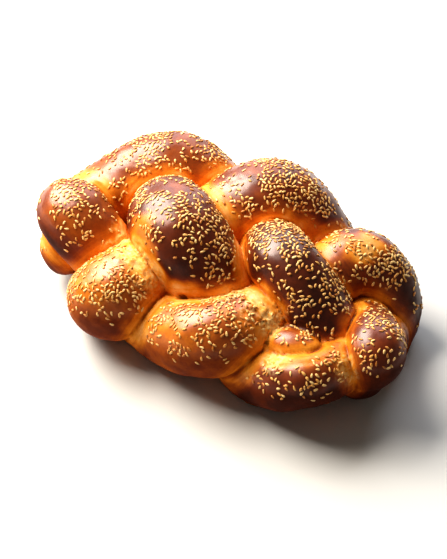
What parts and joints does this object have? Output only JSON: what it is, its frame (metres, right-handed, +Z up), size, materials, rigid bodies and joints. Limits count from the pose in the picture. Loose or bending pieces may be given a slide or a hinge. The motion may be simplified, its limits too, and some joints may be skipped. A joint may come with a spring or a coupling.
{
  "type": "braided loaf",
  "caption": "Plaited bread loaf of fat strands with a glossy browned crust, scattered with sesame seeds and resting on its flat underside.",
  "frame": {"origin": "centre of the loaf's outline, on the surface that it rests on", "axes": "+Z up; +X along the loaf, towards the end at the right of the picture; +Y towards its back"},
  "size_m": [0.2465, 0.1529, 0.0885],
  "materials": {
    "crust": "satin",
    "seeds": "satin"
  },
  "bodies": {
    "root": {"loaf": "crust"}
  },
  "joints": []
}
